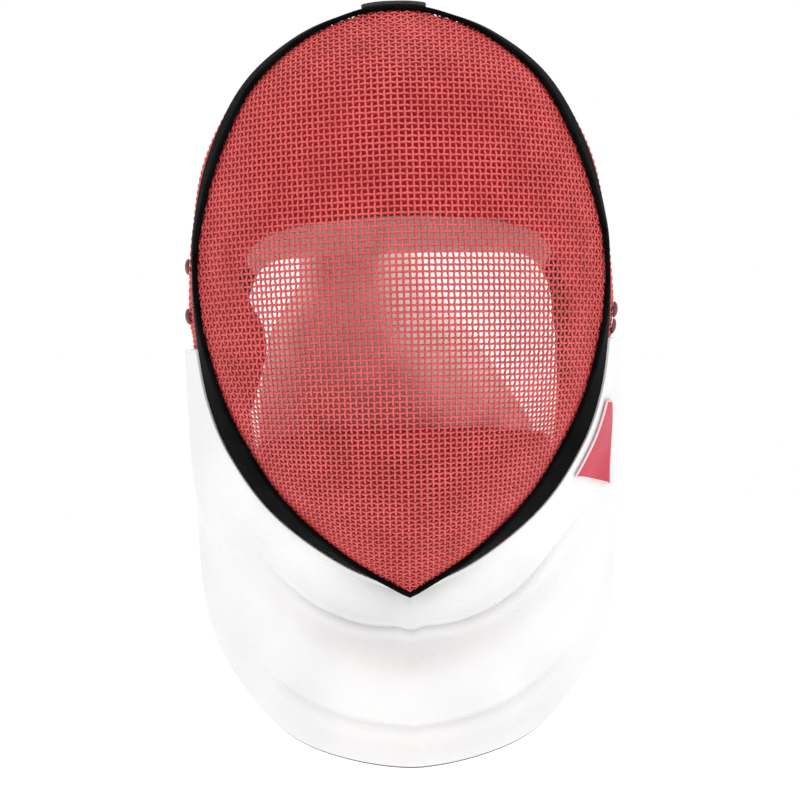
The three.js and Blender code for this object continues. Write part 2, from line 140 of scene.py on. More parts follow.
def read_table(rows, names, column, place, crossing=False, level=False):
    """A smooth value of a column between rows.

    Past the first row the values mirror, or flip where the column crosses zero; past the last row they flip,
    or mirror where the column is level there.
    """
    values = np.array([row[names.index(column)] for row in rows], dtype=float)
    last = len(values) - 1
    before = 2 * values[0] - values[1] if crossing else values[1]
    after = values[last - 1] if level else 2 * values[last] - values[last - 1]
    values = np.concatenate([[before], values, [after]])
    place = np.asarray(place, dtype=float)
    row = np.minimum(np.floor(place).astype(int), last - 1)
    share = place - row
    a, b, c, d = (values[row + step] for step in range(4))
    slope_in = (c - a) / 2
    slope_out = (d - b) / 2
    rest = c - b
    return (b + slope_in * share + (3 * rest - 2 * slope_in - slope_out) * share**2
            + (slope_in + slope_out - 2 * rest) * share**3)


def section(column, place, crossing=False):
    return read_table(SECTIONS, SECTION_NAMES, column, place, crossing)


def spot(across, depth, up):
    """Points from width, depth behind the nose and height above nose level."""
    return np.stack(np.broadcast_arrays(across, depth - NOSE_FORWARD, up - NOSE_BELOW), axis=-1)


def unit(vectors):
    return vectors / np.maximum(np.linalg.norm(vectors, axis=-1, keepdims=True), 1e-12)


def scaled(vectors, lengths):
    return vectors * np.asarray(lengths, dtype=float)[..., None]


# Section of the dome: a blunt ridge, then an ever steeper side
RIDGE_SHARE = 0.43
RIDGE_BLUNT = 0.05
ROUNDNESS = 0.75
LEAST_ROUND = 0.02


def dome_share(across):
    ridge_end = math.hypot(1, RIDGE_BLUNT) - RIDGE_BLUNT
    round_end = 1 - math.sqrt(1 - ROUNDNESS)
    ridge = np.hypot(across, RIDGE_BLUNT) - RIDGE_BLUNT
    rounded = 1 - np.sqrt(np.maximum(1 - ROUNDNESS * across**2, LEAST_ROUND))
    return RIDGE_SHARE * ridge + (1 - RIDGE_SHARE * ridge_end) * rounded / round_end


def face_point(place, across):
    half = section("half", place, True) * HALF_FACE
    ridge = section("ridge", place) * FACE_DEPTH
    rim = section("rim", place) * FACE_DEPTH
    up = section("up", place) * FACE_HEIGHT
    return spot(across * half, ridge + (rim - ridge) * dome_share(np.abs(across)), up)


RIM_STEP = 0.05


def arrays(*values):
    return np.broadcast_arrays(*(np.asarray(value, dtype=float) for value in values))


def rim_frame(place, side):
    """The rim at places, with the ways out of the mask, back along the trim and out of the trim's face."""
    place, side = arrays(place, side)
    at_top = place < RIM_STEP
    at_chin = place > LAST_ROW - RIM_STEP
    above_place = np.where(at_chin, LAST_ROW - RIM_STEP, np.where(at_top, RIM_STEP, place - RIM_STEP))
    above_side = np.where(at_top, -side, side)
    below_place = np.where(at_chin, LAST_ROW - RIM_STEP, place + RIM_STEP)
    below_side = np.where(at_chin, -side, side)
    point = face_point(place, side)
    tangent = unit(face_point(below_place, below_side) - face_point(above_place, above_side))
    rear = np.zeros_like(tangent)
    rear[..., 1] = 1
    rear = unit(rear - scaled(tangent, tangent[..., 1]))
    outward = scaled(np.cross(tangent, rear), side)
    seen = section("band", place) * TRIM_WIDTH
    lift = np.arcsin((seen - LAYER - TRIM_WALL / 2) / TRIM_WIDTH)
    run = scaled(rear, np.cos(lift)) + scaled(outward, np.sin(lift))
    face = scaled(outward, np.cos(lift)) - scaled(rear, np.sin(lift))
    return point, outward, run, face


def side_point(place, side, way, raised=0.0):
    """Points on the crown and sides: way 0 is the rim and way 1 the rear edge."""
    place, side, way, raised = arrays(place, side, way, raised)
    point, outward, run, face = rim_frame(place, side)
    near = point + scaled(run, TRIM_WIDTH * way / TRIM_END) + scaled(face, raised)
    start = point + scaled(run, np.full(place.shape, TRIM_WIDTH))
    end = spot(side * section("back_half", place, True) * HALF_FACE,
               section("back", place) * CROWN_REACH, section("back_up", place) * FACE_HEIGHT)
    span = end[..., 1] - start[..., 1]
    stand = section("puff", place) * SWELL
    first = start + scaled(run, LEAVE_SHARE * span) + scaled(outward, SWELL_LEAD * stand)
    second = end + HIP_PLACE * (start - end)
    second[..., 1] = end[..., 1] - HIP_SHARE * span
    second = second + scaled(outward, stand)
    share = np.maximum((way - TRIM_END) / (1 - TRIM_END), 0)
    rest = 1 - share
    curve = (scaled(start, rest**3) + scaled(first, 3 * rest**2 * share)
             + scaled(second, 3 * rest * share**2) + scaled(end, share**3))
    heading = (scaled(first - start, rest**2) + scaled(second - first, 2 * rest * share)
               + scaled(end - second, share**2))
    normal = unit(np.cross(unit(heading), np.cross(outward, run)))
    far = curve + scaled(normal, raised)
    return np.where((way <= TRIM_END)[..., None], near, far)


def rear_way(place, side, width):
    """The way at which a band of a width begins that ends at the rear edge."""
    length = np.linalg.norm(side_point(place, side, TRIM_END) - side_point(place, side, 1.0), axis=-1)
    return 1 - (1 - TRIM_END) * np.minimum(width / length, BINDING_MOST)


def loop_stations(start, end, count):
    """Places and sides down the right side and up the left one; closed where it starts at the top."""
    down = np.linspace(start, end, count)
    places = np.concatenate([down, down[::-1][1:] if end == LAST_ROW else down[::-1]])
    sides = np.concatenate([np.ones(count), -np.ones(len(places) - count)])
    return places, sides


def crown_stations(end, count):
    """Places and sides over the crown, from the left side to the right one."""
    down = np.linspace(0, end, count)
    return np.concatenate([down[::-1], down[1:]]), np.concatenate([-np.ones(count), np.ones(count - 1)])


# Mesh helpers


def new_piece(name, points, faces):
    """A piece from points and faces, smooth, riding on the mask."""
    mesh = bpy.data.meshes.new(name)
    mesh.from_pydata([tuple(p) for p in np.asarray(points).tolist()], [], faces)
    mesh.validate()
    piece = bpy.data.objects.new(name, mesh)
    bpy.context.scene.collection.objects.link(piece)
    mesh.shade_smooth()
    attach(piece, "root")
    return piece


def pick(piece):
    bpy.ops.object.select_all(action="DESELECT")
    piece.select_set(True)
    bpy.context.view_layer.objects.active = piece


def modify(piece, kind, **settings):
    """Adds a modifier with its settings and applies it."""
    pick(piece)
    modifier = piece.modifiers.new(kind, kind)
    for key, value in settings.items():
        setattr(modifier, key, value)
    bpy.ops.object.modifier_apply(modifier=modifier.name)


MERGE = 0.02 * MM


def clean(piece):
    """Merges doubles and drops the flat faces they leave."""
    pick(piece)
    bpy.ops.object.mode_set(mode="EDIT")
    bpy.ops.mesh.select_all(action="SELECT")
    bpy.ops.mesh.remove_doubles(threshold=MERGE)
    bpy.ops.object.mode_set(mode="OBJECT")


def add_uv(piece, rows, columns, size_rows, size_columns):
    """A UV map in metres over a grid piece, written corner by corner from each vertex's row and column."""
    layer = piece.data.uv_layers.new(name="cloth")
    index = np.zeros(len(piece.data.loops), dtype=np.int32)
    piece.data.loops.foreach_get("vertex_index", index)
    row = index // columns
    column = index % columns
    uv = np.stack([column / (columns - 1) * size_columns, row / (rows - 1) * size_rows], axis=-1)
    layer.data.foreach_set("uv", uv.ravel().astype(np.float32))


CORNER_ANGLE = math.radians(50)


def grid_piece(name, grid, wall, round_edge):
    """A walled piece on a grid of points, seen from outside with rows down and columns to the right."""
    grid = np.asarray(grid)
    rows, columns = grid.shape[:2]
    corners = (np.arange(rows - 1)[:, None] * columns + np.arange(columns - 1)[None, :]).ravel()
    faces = np.stack([corners, corners + columns, corners + columns + 1, corners + 1], axis=-1).tolist()
    piece = new_piece(name, grid.reshape(-1, 3), faces)
    lengths = np.linalg.norm(np.diff(grid, axis=0), axis=-1).sum(axis=0).max()
    widths = np.linalg.norm(np.diff(grid, axis=1), axis=-1).sum(axis=1).max()
    add_uv(piece, rows, columns, lengths, widths)
    clean(piece)
    modify(piece, "SOLIDIFY", thickness=wall, offset=0, use_even_offset=True, use_quality_normals=True)
    modify(piece, "BEVEL", width=round_edge, segments=2, limit_method="ANGLE", angle_limit=CORNER_ANGLE)
    piece.data.shade_smooth()
    return piece


# Woven wire


def tube(path, outward, tangent, sides, radius):
    """Rings of points round a path."""
    angles = np.arange(sides) / sides * 2 * math.pi
    across = unit(np.cross(tangent, outward))
    upward = np.cross(across, tangent)
    ring = (across[:, None, :] * np.cos(angles)[None, :, None]
            + upward[:, None, :] * np.sin(angles)[None, :, None]) * radius
    return path[:, None, :] + ring


def wires(name, lines, radius=WIRE_RADIUS):
    """Wires as tubes along lines of points; each line is a pair of points and the ways out of the cloth."""
    around = np.arange(WIRE_SIDES)
    points = []
    faces = []
    base = 0
    for path, outward in lines:
        count = len(path)
        if count < 2:
            continue
        tangent = unit(np.gradient(path, axis=0))
        points.append(tube(path, outward, tangent, WIRE_SIDES, radius).reshape(-1, 3))
        ring_start = base + np.arange(count - 1)[:, None] * WIRE_SIDES
        first = ring_start + around
        turned = ring_start + (around + 1) % WIRE_SIDES
        quads = np.stack([first, turned, turned + WIRE_SIDES, first + WIRE_SIDES], axis=-1).reshape(-1, 4)
        faces.extend(map(tuple, quads.tolist()))
        faces.append(tuple(base + WIRE_SIDES - 1 - step for step in range(WIRE_SIDES)))
        end = base + (count - 1) * WIRE_SIDES
        faces.append(tuple(end + step for step in range(WIRE_SIDES)))
        base += count * WIRE_SIDES
    return new_piece(name, np.concatenate(points), faces)


def cord(name, path, normal, radius):
    """A closed cord along a loop of points."""
    tangent = unit(np.roll(path, -1, axis=0) - np.roll(path, 1, axis=0))
    length = np.linalg.norm(np.diff(path, axis=0), axis=1).sum()
    rings = tube(path, normal, tangent, CORD_SIDES, radius)
    return closed_sweep(name, rings, length, 2 * math.pi * radius)


# Outline of the face from the front, at fine places down it
OUTLINE_COUNT = 1301
PLACES = np.linspace(0, LAST_ROW, OUTLINE_COUNT)
HEIGHTS = section("up", PLACES) * FACE_HEIGHT
HALVES = np.maximum(section("half", PLACES, True), 0) * HALF_FACE
RIDGES = section("ridge", PLACES) * FACE_DEPTH
RIMS = section("rim", PLACES) * FACE_DEPTH
RIM_ANGLES = np.arctan2(HALVES, HEIGHTS)
RIM_RADII = np.hypot(HALVES, HEIGHTS)
PAST_SLOPE = 1.6


def inside_share(across, up):
    """1 on the outline of the face as seen from the front, less inside it."""
    angle = np.arctan2(np.abs(across), up)
    return np.hypot(across, up) / np.interp(angle, RIM_ANGLES, RIM_RADII)


def dome_depth(across, up):
    """Depth behind the nose of the face at a width and height, carried on past the rim."""
    share = inside_share(across, up)
    past = np.maximum(share - 1, 0)
    shrink = np.where(past > 0, 1 / np.maximum(share, 1e-9), 1)
    x, z = np.abs(across) * shrink, up * shrink
    falling = slice(None, None, -1)
    half = np.interp(z, HEIGHTS[falling], HALVES[falling])
    ridge = np.interp(z, HEIGHTS[falling], RIDGES[falling])
    rim = np.interp(z, HEIGHTS[falling], RIMS[falling])
    depth = ridge + (rim - ridge) * dome_share(np.minimum(x / np.maximum(half, 1e-6), 1))
    return depth + PAST_SLOPE * past * np.hypot(x, z)


def dome_spot(across, up):
    return np.stack([across, dome_depth(across, up), up], axis=-1)


def dome_normal(across, up):
    """The way out of the dome."""
    step = 0.5 * MM
    slope_x = (dome_depth(across + step, up) - dome_depth(across - step, up)) / (2 * step)
    slope_z = (dome_depth(across, up + step) - dome_depth(across, up - step)) / (2 * step)
    return unit(np.stack([slope_x, -np.ones_like(slope_x), slope_z], axis=-1))


WALK_REACH = 0.22
WALK_STEP = 0.1 * MM


def walk_line(direction, count):
    """Steps of one pitch over the dome from the nose along x or z, as widths and heights."""
    fine = np.arange(0, WALK_REACH, WALK_STEP)
    across, up = fine * direction[0], fine * direction[1]
    path = dome_spot(across, up)
    length = np.concatenate([[0], np.cumsum(np.linalg.norm(np.diff(path, axis=0), axis=1))])
    reach = np.interp(np.arange(count) * PITCH, length, fine)
    return reach * direction[0], reach * direction[1]


NET_REACH = 66
NET_MARGIN = 1.08
NUDGE = 0.05 * MM
SOLVE_ROUNDS = 8


def squared_distance_slopes(here, other, slope_x, slope_z):
    """How the squared distance to another point changes with width and with height."""
    offset = here - other
    return (2 * offset[:, 0] + 2 * offset[:, 1] * slope_x, 2 * offset[:, 2] + 2 * offset[:, 1] * slope_z)


def in_reach(across, up):
    return inside_share(np.nan_to_num(across), np.nan_to_num(up)) < NET_MARGIN


def weave_quarter(side, rise):
    """A quarter of the net: each crossing lies one pitch from its neighbours along both wires."""
    size = NET_REACH
    across = np.full((size, size), np.nan)
    up = np.full((size, size), np.nan)
    across[:, 0], up[:, 0] = walk_line((side, 0), size)
    across[0, :], up[0, :] = walk_line((0, rise), size)
    for diagonal in range(2, 2 * size - 1):
        i = np.arange(max(1, diagonal - size + 1), min(size, diagonal))
        j = diagonal - i
        ax, az = across[i - 1, j], up[i - 1, j]
        bx, bz = across[i, j - 1], up[i, j - 1]
        cx, cz = across[i - 1, j - 1], up[i - 1, j - 1]
        x, z = ax + bx - cx, az + bz - cz
        good = np.isfinite(x) & in_reach(ax, az) & in_reach(bx, bz)
        if not good.any():
            continue
        i, j, x, z = i[good], j[good], x[good], z[good]
        a, b = dome_spot(ax[good], az[good]), dome_spot(bx[good], bz[good])
        for _ in range(SOLVE_ROUNDS):
            here = dome_spot(x, z)
            slope_x = (dome_depth(x + NUDGE, z) - dome_depth(x - NUDGE, z)) / (2 * NUDGE)
            slope_z = (dome_depth(x, z + NUDGE) - dome_depth(x, z - NUDGE)) / (2 * NUDGE)
            miss_a = ((here - a)**2).sum(axis=1) - PITCH**2
            miss_b = ((here - b)**2).sum(axis=1) - PITCH**2
            a_x, a_z = squared_distance_slopes(here, a, slope_x, slope_z)
            b_x, b_z = squared_distance_slopes(here, b, slope_x, slope_z)
            cross = a_x * b_z - a_z * b_x
            cross = np.where(np.abs(cross) < 1e-9, np.nan, cross)
            step_x = (miss_a * b_z - miss_b * a_z) / cross
            step_z = (a_x * miss_b - b_x * miss_a) / cross
            x = x - np.clip(step_x, -PITCH / 2, PITCH / 2)
            z = z - np.clip(step_z, -PITCH / 2, PITCH / 2)
        across[i, j], up[i, j] = x, z
    return across, up


def weave_net():
    """The whole net of crossings, with the nose at its middle."""
    reach = NET_REACH - 1
    across = np.full((2 * reach + 1, 2 * reach + 1), np.nan)
    up = across.copy()
    for side in (1, -1):
        for rise in (1, -1):
            x, z = weave_quarter(side, rise)
            columns = reach + side * np.arange(NET_REACH)
            rows = reach + rise * np.arange(NET_REACH)
            across[np.ix_(columns, rows)] = x
            up[np.ix_(columns, rows)] = z
    return across, up


WIRE_END = 1.012
NO_CROSSING = 9
SHORTEST_END = 0.15


def runs_of(inside):
    """Where each unbroken run of true values begins, and the place after its end."""
    turns = np.flatnonzero(np.diff(np.concatenate([[False], inside, [False]]).astype(int)))
    return list(zip(turns[::2], turns[1::2]))


def cut_runs(across, up, order):
    """Splits a wire into its runs inside the outline and ends each run on it."""
    share = inside_share(np.nan_to_num(across), np.nan_to_num(up))
    share = np.where(np.isfinite(across), share, NO_CROSSING)
    pieces = []
    for begin, end in runs_of(share < WIRE_END):
        x, z, sign = list(across[begin:end]), list(up[begin:end]), list(order[begin:end])
        for edge, beyond in ((begin, begin - 1), (end - 1, end)):
            if not (0 <= beyond < len(share) and share[beyond] < NO_CROSSING):
                continue
            part = (WIRE_END - share[edge]) / (share[beyond] - share[edge])
            if part > SHORTEST_END:
                at = 0 if beyond < edge else len(x)
                x.insert(at, across[edge] + part * (across[beyond] - across[edge]))
                z.insert(at, up[edge] + part * (up[beyond] - up[edge]))
                sign.insert(at, 0.0)
        if len(x) > 2:
            pieces.append((np.array(x), np.array(z), np.array(sign)))
    return pieces


def woven_face():
    """The face's two sets of wires, each passing over and under the other."""
    across, up = weave_net()
    order = np.where(np.indices(across.shape).sum(axis=0) % 2 == 0, 1.0, -1.0)
    made = []
    for name, swap, turn in (("face_warp", False, 1), ("face_weft", True, -1)):
        x_net, z_net, signs = (net.T if swap else net for net in (across, up, order))
        lines = []
        for x_line, z_line, sign_line in zip(x_net, z_net, signs):
            for x, z, sign in cut_runs(x_line, z_line, sign_line * turn):
                normal = dome_normal(x, z)
                middle = dome_spot(x, z) + normal * (sign * WIRE_RADIUS)[:, None]
                lines.append((spot(middle[:, 0], middle[:, 1], middle[:, 2]), normal))
        piece = wires(name, lines)
        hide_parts("face_mesh")
        made.append(piece)
    return made


SIDE_START = 0.045
SIDE_END = 0.985
SIDE_SAMPLES = 60
ROUND_SAMPLES = 600


def wire_stations():
    """Places and sides one pitch apart round the rim, an even number of them."""
    places, sides = loop_stations(0, LAST_ROW, ROUND_SAMPLES)
    rim = side_point(places, sides, SIDE_START)
    length = np.concatenate([[0], np.cumsum(np.linalg.norm(np.diff(rim, axis=0), axis=1))])
    count = int(length[-1] / PITCH) // 2 * 2
    picks = np.interp(np.arange(count) / count * length[-1], length, np.arange(len(places)))
    low = np.floor(picks).astype(int)
    part = picks - low
    high = np.minimum(low + 1, len(places) - 1)
    same = sides[low] == sides[high]
    place = np.where(same, places[low] + part * (places[high] - places[low]), places[low])
    return place, sides[np.where(part < 0.5, low, high)]


def woven_sides():
    """Wires of the crown and sides: one set from the rim to the rear edge, the other round the mask."""
    place, side = wire_stations()
    count = len(place)
    ways = np.linspace(SIDE_START, SIDE_END, SIDE_SAMPLES)
    lines = side_point(place[:, None], side[:, None], ways[None, :])
    outward = side_point(place[:, None], side[:, None], ways[None, :], 1 * MM) - lines
    steps = np.linalg.norm(np.diff(lines, axis=1), axis=2)
    lengths = np.concatenate([np.zeros((count, 1)), np.cumsum(steps, axis=1)], axis=1)
    most = int(lengths[:, -1].max() / PITCH) + 1
    net = np.full((count, most, 3), np.nan)
    normals = np.full((count, most, 3), np.nan)
    for index in range(count):
        here = int(lengths[index, -1] / PITCH) + 1
        reach = np.arange(here) * PITCH
        for axis in range(3):
            net[index, :here, axis] = np.interp(reach, lengths[index], lines[index, :, axis])
            normals[index, :here, axis] = np.interp(reach, lengths[index], outward[index, :, axis])
    normals = unit(np.nan_to_num(normals))
    order = np.where(np.indices((count, most)).sum(axis=0) % 2 == 0, 1.0, -1.0)
    there = np.isfinite(net[:, :, 0])
    around = np.arange(count + 1) % count
    warp, weft = [], []
    for index, good in enumerate(there):
        offsets = (order[index, good] * WIRE_RADIUS)[:, None]
        warp.append((net[index, good] + normals[index, good] * offsets, normals[index, good]))
    for step in range(most):
        for begin, end in runs_of(there[around, step]):
            run = around[begin:end]
            offsets = -(order[run, step] * WIRE_RADIUS)[:, None]
            weft.append((net[run, step] + normals[run, step] * offsets, normals[run, step]))
    made = []
    for name, wire_lines in (("side_warp", warp), ("side_weft", weft)):
        piece = wires(name, wire_lines)
        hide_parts("side_mesh")
        made.append(piece)
    return made


# Cloth, trim and fittings


def section_ring(length, half, count):
    """The section of a band with round edges, as pairs of a place along its width and up its thickness."""
    turn = np.linspace(0, math.pi, count)
    front = np.stack([half - half * np.sin(turn), half * np.cos(turn)], axis=-1)
    back = np.stack([length - half + half * np.sin(turn), -half * np.cos(turn)], axis=-1)
    return np.concatenate([front, back])


def closed_sweep(name, rings, along_size, around_size):
    """A closed band: rings of points go round the mask, each ring a closed section seen with outside left."""
    rows, columns = rings.shape[:2]
    faces = [(row * columns + column, row * columns + (column + 1) % columns,
              (row + 1) % rows * columns + (column + 1) % columns, (row + 1) % rows * columns + column)
             for row in range(rows) for column in range(columns)]
    piece = new_piece(name, rings.reshape(-1, 3), faces)
    add_uv(piece, rows, columns, along_size, around_size)
    pick(piece)
    bpy.ops.object.mode_set(mode="EDIT")
    bpy.ops.mesh.select_all(action="SELECT")
    bpy.ops.mesh.normals_make_consistent(inside=False)
    bpy.ops.object.mode_set(mode="OBJECT")
    return piece


TRIM_LEAD = 1 * MM
TRIM_STATIONS = 181
TRIM_CORNERS = 9
TRIM_LENGTH = 0.75
BEAD_SHARE = 0.25
BEAD_SIZE = 1.5 * MM


def front_trim():
    """The black trim: a flat tape with a fuller front edge."""
    places, sides = loop_stations(0, LAST_ROW, TRIM_STATIONS)
    point, outward, run, face = rim_frame(places[:-1], sides[:-1])
    rings = []
    for along, up in section_ring(TRIM_WIDTH, TRIM_WALL / 2, TRIM_CORNERS):
        fuller = 1 + BEAD_SHARE * math.exp(-((along - BEAD_SIZE) / BEAD_SIZE)**2)
        rise = LAYER + TRIM_WALL / 2 + up * (fuller if up > 0 else 1)
        rings.append(point + run * (along - TRIM_LEAD) + face * rise)
    rings = np.stack(rings, axis=1)
    piece = closed_sweep("front_trim_tape", rings, TRIM_LENGTH, 2 * TRIM_WIDTH)
    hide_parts("front_trim")
    return piece


TAPE_STEPS = 5
TURN_STEPS = 9


def binding(name, places, sides, slot, node):
    """A tape folded over the rear edge, with rounded corners."""
    raise_by = LOOSE_LAYER + BINDING_WALL / 2
    start = rear_way(places, sides, BINDING_WIDTH)
    edge = side_point(places, sides, 1.0)
    heading = unit(edge - side_point(places, sides, (start + 1) / 2))
    normal = unit(side_point(places, sides, 1.0, 1 * MM) - edge)
    ways = [start + share * (1 - start) for share in np.linspace(0, 1, TAPE_STEPS)]
    columns = [side_point(places, sides, way, raise_by) for way in ways]
    for angle in np.linspace(math.pi / 2, -math.pi / 2, TURN_STEPS)[1:-1]:
        back = 2 * GAP + raise_by * math.cos(angle)
        columns.append(edge + heading * back + normal * raise_by * math.sin(angle))
    columns += [side_point(places, sides, way, -raise_by) for way in reversed(ways)]
    piece = grid_piece(name, np.stack(columns, axis=1), BINDING_WALL, 0.3 * MM)
    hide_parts(node)
    return piece


# Where the crown's hem meets the rear binding, and where the lining ends
HEM_PLACE = 4.5
JOINT_SHARE = 0.03
HEM_COUNT = 60
REAR_COUNT = 70
LINING_PLACE = 11.5
LINING_START = 0.85 * TRIM_END
LINING_COUNT = 70
LINING_STEPS = 30
SAG_FROM, SAG_TO = 5, 9.5


def crown_lining():
    """The lining of the crown and sides; on the left it hangs loose near the rear edge."""
    places, sides = crown_stations(LINING_PLACE, LINING_COUNT)
    end = rear_way(places, sides, BINDING_WIDTH) - LINING_CLOSE
    loose = np.sin(math.pi * np.clip((places - SAG_FROM) / (SAG_TO - SAG_FROM), 0, 1))
    sag = np.where(sides < 0, LINING_SAG * loose, 0)
    columns = []
    for share in np.linspace(0, 1, LINING_STEPS):
        raised = -(LOOSE_LAYER + LINING_WALL / 2) - sag * share**2
        columns.append(side_point(places, sides, LINING_START + share * (end - LINING_START), raised))
    piece = grid_piece("lining_cloth", np.stack(columns, axis=1), LINING_WALL, 0.5 * MM)
    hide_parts("crown_lining")
    return piece


TAB_COLUMNS = 15
TAB_ON_TRIM = 5
TAB_ON_CROWN = 60
TAB_START = 0.01


def crown_tab():
    """Black webbing from the trim back over the crown."""
    reach = TAB_WIDTH / FACE_WIDTH / SECTIONS[1][1]
    end = rear_way(0.0, 1.0, BINDING_WIDTH) - LINING_MARGIN
    on_trim = LAYER + TRIM_WALL + GAP + TAB_WALL / 2
    on_crown = LOOSE_LAYER + TAB_WALL / 2
    across = np.linspace(-reach, reach, TAB_COLUMNS)
    places, sides = np.abs(across), np.where(across < 0, -1.0, 1.0)
    ways = np.concatenate([np.linspace(TAB_START, TRIM_END, TAB_ON_TRIM),
                           np.linspace(TRIM_END + LINING_MARGIN, float(end), TAB_ON_CROWN)])
    columns = []
    for way in ways:
        step = np.clip((way - TRIM_END) / LINING_MARGIN, 0, 1)
        columns.append(side_point(places, sides, way, on_trim + (on_crown - on_trim) * step))
    piece = grid_piece("crown_webbing", np.stack(columns, axis=1), TAB_WALL, 0.4 * MM)
    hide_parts("crown_tab")
    return piece


TONGUE_LENGTH = 140 * MM
TONGUE_WIDTH = 150 * MM
TONGUE_WALL = 3 * MM
TONGUE_COLUMNS = 41
TONGUE_CORNER = 0.86

# Rows down the tongue: how far down, how wide and how far to the side
TONGUE_ROWS = ((0.08, 0.453, -0.12), (0.25, 0.68, -0.11), (0.45, 0.84, -0.07), (0.6, 0.94, -0.03),
               (0.8, 1, 0), (0.87, 0.99, 0), (0.905, 0.965, 0), (0.935, 0.92, 0), (0.955, 0.865, 0),
               (0.972, 0.78, 0))
TONGUE_TOPS = (-2.8, 0.7)
NAPE_START = 8 * MM
NAPE_BOW = 8 * MM
NAPE_WRAP = 18 * MM
HEM_TIP = 4.4 * MM  # 4.8 mm in the part
PAD_WIDTH = FACE_WIDTH - 40 * MM
PAD_HEIGHT = 88 * MM
PAD_WALL = 12 * MM
PAD_MIDDLE = 0.935
PAD_CORNER = 0.7
PAD_LIFT = 0.05
PAD_FULL = 0.9
PAD_COLUMNS = 41
PAD_ROWS = 15


def nape_point(across, down, raised=0.0):
    """Points behind the head, from the crown's hem down."""
    bow = NAPE_BOW * np.sin(math.pi * down)
    wrap = NAPE_WRAP * (2 * across / PAD_WIDTH)**2
    top = SECTIONS[0][6] * FACE_HEIGHT - NAPE_START
    return spot(across, CROWN_REACH + bow - wrap + raised, top - down * TONGUE_LENGTH)


def tongue():
    """The spring tongue in its pale cover, from the crown's hem down behind the head."""
    top = np.linspace(*TONGUE_TOPS, TONGUE_COLUMNS)
    places, sides = np.abs(top), np.where(top < 0, -1.0, 1.0)
    edge = side_point(places, sides, 1.0)
    heading = unit(edge - side_point(places, sides, rear_way(places, sides, BINDING_WIDTH)))
    rows = [edge + heading * HEM_TIP]
    downs, widths, shifts = np.array(TONGUE_ROWS).T
    across = np.linspace(-0.5, 0.5, TONGUE_COLUMNS)
    for down in np.concatenate([np.linspace(downs[0], TONGUE_CORNER, 23),
                                np.linspace(TONGUE_CORNER + 0.01, downs[-1], 11)]):
        width, shift = np.interp(down, downs, widths), np.interp(down, downs, shifts)
        rows.append(nape_point((across * width + shift) * TONGUE_WIDTH, down))
    grid = np.stack(rows)[:, ::-1]
    piece = grid_piece("tongue_cover", grid, TONGUE_WALL, 0.8 * MM)
    behind = piece.data.attributes.new("behind", "FLOAT", "POINT")
    behind.data.foreach_set("value", [float(vertex.normal.y > 0) for vertex in piece.data.vertices])
    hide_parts("tongue")
    return piece


def nape_pad():
    """The dark red pad behind the neck, with full rounded edges."""
    raised = -(TONGUE_WALL / 2 + GAP + 2 * FACET_ROOM + PAD_WALL / 2)
    across = np.linspace(-0.5, 0.5, PAD_COLUMNS)
    rows = []
    for drop in np.linspace(-0.5, 0.5, PAD_ROWS):
        curve = np.sqrt(1 - (2 * PAD_CORNER * across)**2)
        down = PAD_MIDDLE + drop * curve * PAD_HEIGHT / TONGUE_LENGTH - PAD_LIFT * (2 * across)**2
        rows.append(nape_point(across * PAD_WIDTH, down, raised))
    grid = np.stack(rows)[:, ::-1]
    piece = grid_piece("nape_cushion", grid, PAD_WALL * PAD_FULL, 3 * MM)
    modify(piece, "SUBSURF", levels=1, render_levels=1)
    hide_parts("nape_pad")
    return piece


def fold_at(down):
    """How far the folds stand out a share of the way down."""
    downs = np.array([fold[0] for fold in BIB_FOLDS])
    outs = np.array([fold[1] for fold in BIB_FOLDS], dtype=float)
    index = np.clip(np.searchsorted(downs, down, side="left"), 1, len(downs) - 1)
    share = np.clip((down - downs[index - 1]) / (downs[index] - downs[index - 1]), 0, 1)
    share = share * share * (3 - 2 * share)
    return outs[index - 1] + (outs[index] - outs[index - 1]) * share


def bib_point(line, side, down):
    """Points of the bib's middle on lines of its table, a share of the way down them."""
    line, side, down = arrays(line, side, down)

    def read(column):
        return read_table(BIB_LINES, BIB_NAMES, column, line, level=column == "drop")

    place, turn = read("place"), read("turn")
    run = rim_frame(place, side)[2]
    raised = LOOSE_LAYER + BIB_WALL / 2 + (1 - turn) * (BINDING_WALL + FACET_ROOM)
    edge = side_point(place, side, TRIM_END, raised)
    start = edge + scaled(run, (BIB_WALL / 2 + GAP) * (1 - turn))
    end = spot(side * read("half") * BIB_HALF, read("back") * BIB_REACH, -read("drop") * BIB_DROP)
    angle = turn * math.pi / 2
    facing = np.stack([side * np.sin(angle), -np.cos(angle), np.zeros_like(angle)], axis=-1)
    reach = BIB_EASE * np.linalg.norm(end - start, axis=-1)
    straight = unit(end - start)
    leave = unit(straight + scaled(run - straight, turn))
    belly = scaled(facing, read("belly") * BIB_BELLY)
    first = start + scaled(leave, reach) + belly
    second = end - scaled(straight, reach) + belly
    rest = 1 - down
    point = (scaled(start, rest**3) + scaled(first, 3 * rest**2 * down)
             + scaled(second, 3 * rest * down**2) + scaled(end, down**3))
    return point + scaled(facing, FOLD_DEPTH * read("fold") * fold_at(down))


BIB_ROWS = 76
BIB_COLUMNS = 150
SEAM_WAY = 0.957 * TRIM_END
HEM_RADIUS = 0.5 * MM
HEM_OUT = 0.2 * MM

# Creases pressed across the bib: the share of the way down at which they run, by line
CREASE_DEPTH = 1.3 * MM
EDGE_FADE = 8
UPPER_CREASE = ((2.3, 0.35), (2.9, 0.26), (3.7, 0.33), (4.5, 0.29), (5.3, 0.262), (6, 0.215))
LOWER_CREASE = ((3.4, 0.84), (3.9, 0.8), (4.5, 0.77), (5.2, 0.77), (6, 0.76))


